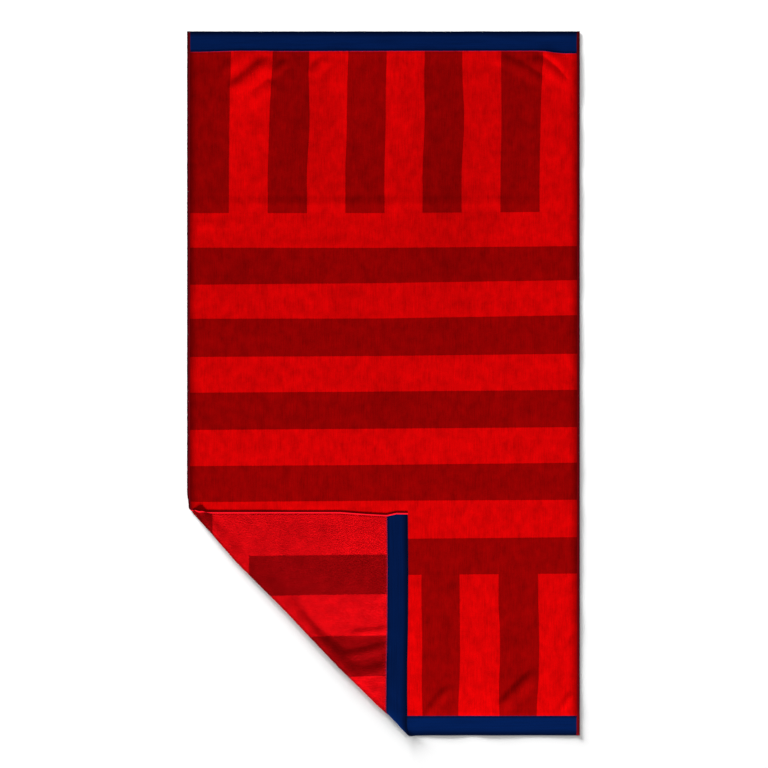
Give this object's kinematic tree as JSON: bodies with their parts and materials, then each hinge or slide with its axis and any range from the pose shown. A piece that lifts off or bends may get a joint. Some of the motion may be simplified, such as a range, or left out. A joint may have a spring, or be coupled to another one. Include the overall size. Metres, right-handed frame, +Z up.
{
  "type": "beach towel",
  "caption": "Striped velour beach towel lying flat, face up, with its lower left corner folded over to show the looped back and plain woven headings.",
  "frame": {"origin": "centre of the underside, on the surface that the towel lies on", "axes": "+X across the towel's width, +Y along its length towards the end that isn't folded, +Z up out of the surface"},
  "size_m": [1.0166, 1.826, 0.0184],
  "materials": {
    "towelling": "cotton terry, sheared to velour on the face and looped on the back, in stripes of two reds",
    "heading": "plain woven cotton heading in navy, fine ribs across the towel",
    "hem": "turned and stitched cotton side hem in dark red",
    "stitching": "sewing thread"
  },
  "bodies": {
    "root": {"towel": "towelling"}
  },
  "joints": []
}
